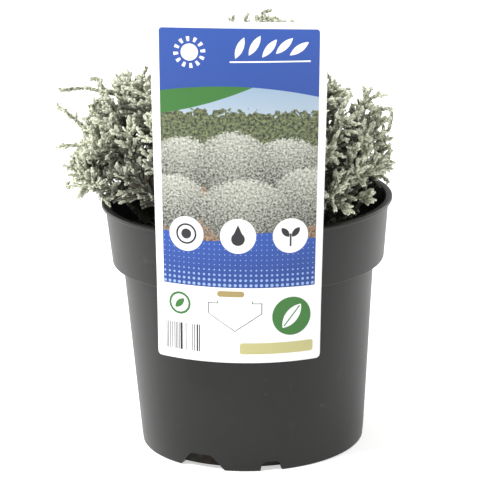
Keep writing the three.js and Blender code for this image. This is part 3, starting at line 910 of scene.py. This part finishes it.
class Knot:
    """A point of the stem where shoots may start."""

    def __init__(self, place, parent):
        self.place = place
        self.parent = parent
        step = place - parent.place if parent else Vector((0, 0, 1))
        self.path = parent.path + step.length if parent else 0
        self.heading = step.normalized() if parent else Vector((0, 0, 1))
        self.load = 0

    def radius(self):
        """Half the shoot's thickness here, by what it carries and by how leafy it is."""
        leafy = smoothstep(outwardness(self.place), leafy_from, leafy_to)
        carried = wood_radius * self.load ** wood_growth if self.load else 0
        return max(carried, wood_radius + (leafy_radius - wood_radius) * leafy)


def smoothstep(value, low, high):
    """A soft step from 0 at low to 1 at high."""
    share = min(max((value - low) / (high - low), 0), 1)
    return share * share * (3 - 2 * share)


def between(knots, share):
    """The place and the radius at a share of the way along a run of knots."""
    along = share * (len(knots) - 1)
    i = min(int(along), len(knots) - 2)
    part = along - i
    place = knots[i].place.lerp(knots[i + 1].place, part)
    return place, knots[i].radius() * (1 - part) + knots[i + 1].radius() * part


def grow_stem(own):
    """The shoots that the stem's solid has, as runs of knots, each with the curve that it follows."""
    direction = directions[own]
    foot = cone_point + direction * ((soil_level - cone_point.z) / direction.z)
    knots = [Knot(Vector((foot.x, foot.y, soil_level - hole_depth + soil_gap)), None)]
    knots.append(Knot(Vector((foot.x, foot.y, soil_level + stem_collar)), knots[0]))
    for along in stem_knots:
        knots.append(Knot(foot + direction * along, knots[-1]))
    shoots = [(list(knots), None)]
    for end, kind in ends_of[own]:
        if kind in added_kinds:
            continue
        shortest, longest = (shortest_branch, math.inf) if kind == "branch" else sprig_length
        best, lowest = None, math.inf
        for knot in knots[2:]:
            arm = end - knot.place
            length = arm.length
            turn = max(0, straight_ahead - arm.dot(knot.heading) / length)
            cost = length + path_weight * knot.path + turning_cost * turn
            if shortest < length < longest and cost < lowest:
                best, lowest = knot, cost
        if best is None:
            continue
        length = (end - best.place).length
        bow = side_shoot_curve * length * 0.5 if kind == "branch" else 0
        control = into_cone((best.place + end) / 2 + best.heading * bow, own)
        at = arched(best.place, control, end)
        if not all(is_clear(at(i / places_checked)) for i in range(1, places_checked + 1)):
            continue
        steps = max(2, math.ceil(length / step_length)) if kind == "branch" else 1
        run = [best]
        for i in range(1, steps + 1):
            run.append(Knot(at(i / steps), run[-1]))
        knots += run[1:]
        shoots.append((run, at))
    for run, _ in shoots:
        knot = run[-1]
        while knot:
            knot.load += 1
            knot = knot.parent
    return shoots


def arched(start, control, end):
    """The places along a shoot that leaves its start towards control and comes to its end from there."""

    def at(share):
        return start * (1 - share) ** 2 + control * (2 * share * (1 - share)) + end * share ** 2

    return at


def grow_fine(own, shoots, wanted):
    """Sprigs between the stem's shoots: each starts where it can run outwards and straight on."""
    places, headings = [], []
    for run, at in shoots[1:]:
        count = max(2, round((run[-1].path - run[0].path) / fine_knot_step))
        for i in range(count):
            place = at(i / count)
            places.append(place)
            headings.append((at(i / count + fine_look_ahead) - place).normalized())
    all_places = np.array(places)
    all_headings = np.array(headings)
    fine = []
    for end, kind in ends_of[own]:
        if kind != wanted:
            continue
        arms = np.array(end) - all_places
        lengths = np.linalg.norm(arms, axis=1)
        outward = np.array((end - bush_heart).normalized())
        ahead = (arms * all_headings).sum(1) / lengths
        out = arms @ outward / lengths
        bends = np.maximum(0, straight_ahead - ahead) + np.maximum(0, fine_outward - out)
        cost = lengths + turning_cost * bends
        cost[(lengths < sprig_length[0]) | (lengths > fine_longest)] = np.inf
        best = int(cost.argmin())
        if cost[best] == np.inf:
            continue
        start = places[best]
        control = (start + end) / 2 + headings[best] * lengths[best] * fine_bow
        at = arched(start, control, end)
        if not all(is_clear(at(i / fine_places_checked)) for i in range(1, fine_places_checked + 1)):
            continue
        run = [Knot(start, None)]
        run.append(Knot(end, run[0]))
        run[1].load = 1
        fine.append((run, at))
    return fine


ring_sides = 6
ring_step = 0.0013
wood_ring_step = 0.002
dull_ring_step = 0.0026
least_rings = 3
dull_radius = 0.0008
dull_taper = 0.4
# Thin inner shoots keep this share of their outwardness, which paints them in darker shade.
dull_painted_shade = 0.76
twiglet_step = 0.0019
twiglet_length = (0.0024, 0.0046)
twiglet_angle = (32, 60)
twiglet_radius = 0.00062
twiglet_spacing = (0.8, 1.25)
twiglet_start = (0.3, 1)
twiglet_thickness = (0.82, 1.12)
twiglet_from = leafy_from - 0.08
twiglet_shorter = 0.007
twiglet_ahead = 0.14
twiglet_bow = 0.05
twiglet_foot = 0.62
twiglet_end = 0.52
scale_relief = 0.26
tip_length = 0.005
tip_taper = 0.75
tip_swell = 0.95
relief_from = 0.5
relief_gain = 5
box_margin = 0.0008


class Path:
    """The rings of one shoot from root to end: places, radii, outwardness and closeness to the tip."""

    def __init__(self, places, radii, open_end):
        self.places = places
        self.radii = radii
        self.outward = [outwardness(place) for place in places]
        lengths = [(b - a).length for a, b in zip(places, places[1:])]
        self.left = [sum(lengths[i:]) for i in range(len(places))]
        self.tip = [max(0, 1 - left / tip_length) * open_end for left in self.left]


def shoot_path(run, at):
    """The fine rings along one run of knots."""
    length = run[-1].path - run[0].path
    open_end = run[-1].load == 1
    leafy = outwardness(run[-1].place) > leafy_from
    count = max(least_rings, round(length / (ring_step if leafy else wood_ring_step)))
    places, radii = [], []
    for i in range(count + 1):
        place, radius = between(run, i / count)
        places.append(at(i / count) if at else place)
        radii.append(radius)
    if at:
        radii[0] = min(radii[0], wood_radius)
    if open_end:
        radii[-1] = tip_radius * tip_taper
        radii[-2] = min(radii[-2], leafy_radius * tip_swell)
    return Path(places, radii, open_end)


def dull_path(run, at):
    """A thin shoot inside the bush, with few rings, painted in darker shade by a lowered outwardness."""
    count = max(least_rings, round(run[-1].path / dull_ring_step))
    places = [at(i / count) for i in range(count + 1)]
    radii = [dull_radius * (1 - dull_taper * i / count) for i in range(count + 1)]
    path = Path(places, radii, False)
    path.outward = [outward * dull_painted_shade for outward in path.outward]
    return path


def twiglets(path, chance):
    """Short knobbly side shoots, spiralling round the leafy part of a shoot."""
    made = []
    turn = chance.uniform(0, 2 * math.pi)
    walked, due = 0, twiglet_step * chance.uniform(*twiglet_start)
    for i in range(1, len(path.places) - 1):
        heading = path.places[i] - path.places[i - 1]
        walked += heading.length
        if walked < due or path.outward[i] < twiglet_from:
            continue
        due = walked + twiglet_step * chance.uniform(*twiglet_spacing)
        turn += golden_angle
        heading.normalize()
        side = heading.orthogonal().normalized()
        side.rotate(Matrix.Rotation(turn, 3, heading))
        lean = math.radians(chance.uniform(*twiglet_angle))
        shorter = 0.5 + 0.5 * min(1, path.left[i] / twiglet_shorter)
        length = chance.uniform(*twiglet_length) * shorter
        aim = heading * math.cos(lean) + side * math.sin(lean)
        end = path.places[i] + (aim * (1 - twiglet_ahead) + heading * twiglet_ahead) * length
        middle = path.places[i] + aim * length * 0.5 + side * length * twiglet_bow
        if not inside_bush(end):
            continue
        count = max(2, round(length / ring_step))
        at = arched(path.places[i], middle, end)
        thick = twiglet_radius * chance.uniform(*twiglet_thickness)
        places = [at(k / count) for k in range(count + 1)]
        fuller = [smoothstep(k / count, 0, 0.4) for k in range(count + 1)]
        radii = [thick * (twiglet_foot + (1 - twiglet_foot) * share) for share in fuller]
        radii[-1] = thick * twiglet_end
        made.append(Path(places, radii, True))
    return made


def inside_bush(point):
    """True for a point that is clear of the pot and card and within the reach of the solid twigs."""
    for low, value, high in zip(cad_box[0], point, cad_box[1]):
        if not low + box_margin < value < high - box_margin:
            return False
    return is_clear(point)


def clothed(name, paths, chance):
    """One mesh of all the shoots' tubes, with their rings pushed in and out like overlapping scales."""
    tubes = bpy.data.curves.new(name, "CURVE")
    tubes.dimensions = "3D"
    tubes.bevel_depth = 1
    tubes.bevel_resolution = (ring_sides - 4) // 2
    # Each ring's outwardness, closeness to the tip and random tone go to an attribute; the material
    # reads the outwardness for the wood, the leafy colour and the painted inner shade.
    growth = []
    for path in paths:
        spline = tubes.splines.new("POLY")
        spline.points.add(len(path.places) - 1)
        spline.points.foreach_set("co", [value for place in path.places for value in (*place, 1)])
        spline.points.foreach_set("radius", path.radii)
        tone = chance.uniform(0, 1)
        growth += [(outward, tip, tone) for outward, tip in zip(path.outward, path.tip)]
    holder = bpy.data.objects.new(name, tubes)
    bpy.context.scene.collection.objects.link(holder)
    mesh = bpy.data.meshes.new_from_object(holder.evaluated_get(bpy.context.evaluated_depsgraph_get()))
    bpy.data.objects.remove(holder)
    bpy.data.curves.remove(tubes)

    places = np.empty(len(mesh.vertices) * 3, np.float32)
    mesh.vertices.foreach_get("co", places)
    rings = places.reshape(-1, ring_sides, 3)
    growth = np.array(growth, np.float32)
    middles = rings.mean(1, keepdims=True)
    parity = (np.arange(len(rings))[:, None] + np.arange(ring_sides)[None, :]) % 2 * 2 - 1
    relief = parity * np.clip((growth[:, :1] - relief_from) * relief_gain, 0, 1)
    rings += (rings - middles) * (relief * scale_relief)[:, :, None]
    mesh.vertices.foreach_set("co", rings.ravel())
    mesh.attributes.new("growth", "FLOAT_VECTOR", "POINT")
    mesh.attributes["growth"].data.foreach_set("vector", np.repeat(growth, ring_sides, axis=0).ravel())
    mesh.attributes.new("relief", "FLOAT", "POINT")
    mesh.attributes["relief"].data.foreach_set("value", relief.astype(np.float32).ravel())
    shape = bmesh.new()
    shape.from_mesh(mesh)
    open_edges = [edge for edge in shape.edges if edge.is_boundary]
    bmesh.ops.holes_fill(shape, edges=open_edges, sides=ring_sides)
    bmesh.ops.recalc_face_normals(shape, faces=shape.faces)
    shape.to_mesh(mesh)
    shape.free()
    piece = bpy.data.objects.new(name, mesh)
    bpy.context.scene.collection.objects.link(piece)
    return piece


twig_finish, twig_surface, twig_place = new_finish(
    "silver_foliage", Specular_IOR_Level=0.25, Sheen_Weight=0.25, Sheen_Roughness=0.6
)
grown = twig_place.node("Attribute", {"attribute_name": "growth"}, None, 1)
grown = grown.node("SeparateXYZ", None, {0: grown})
outward = grown
tip = Wire(grown.tree, grown.socket.node.outputs[1])
tone = Wire(grown.tree, grown.socket.node.outputs[2])
scales = twig_place.node("Attribute", {"attribute_name": "relief"}, None, 2)
mottle = twig_place.grain(520, 3, 0.6)
fleck = twig_place.grain(950, 2, 0.6).into(0.45, 0.58)
wool = twig_place.grain(2400, 2)
patch = twig_place.grain(34, 2)
wood = mottle.tinted(colour(40, 34, 25), colour(92, 80, 60))
sage = (patch * 0.5 + tone * 0.5).into(0.25, 0.75).tinted(colour(92, 99, 68), colour(138, 145, 112))
# Painted shade: the pushed-in hollows between the scales are darkened to olive.
painted_scale_shade = (0 - scales).into(-0.4, 1) * 0.6
scaly = painted_scale_shade.tinted(sage, colour(50, 54, 34))
cream = (tip * 0.6 + fleck * 0.62).into(0, 1).tinted(scaly, colour(248, 250, 226))
# Painted shade: leafy shoots turn dark olive towards the bush's centre, where the dense foliage shades
# them.
painted_inner_shade = (outward + (mottle - 0.5) * 0.1).into(0.6, 0.94)
shaded = painted_inner_shade.tinted(colour(44, 47, 32), cream)
twig_colour = (outward + (mottle - 0.5) * 0.12).into(0.46, 0.66).tinted(wood, shaded)
feed(twig_surface, Base_Color=twig_colour, Roughness=0.9 - wool * 0.2, Normal=bumped(wool, 0.00025))

for own in range(len(directions)):
    chance = np.random.default_rng(100 + own)
    shoots = grow_stem(own)
    dull = grow_fine(own, shoots, "dull")
    shoots += grow_fine(own, shoots, "fine")
    paths = [shoot_path(run, at) for run, at in shoots]
    paths += [twiglet for path in paths for twiglet in twiglets(path, chance)]
    paths += [dull_path(run, at) for run, at in dull]
    name = f"leafy_stem_{own + 1:02d}"
    bush = clothed(f"fine_{name}", paths, chance)
    bush.data.materials.append(twig_finish)
    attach(bush, "root")
    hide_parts(name)
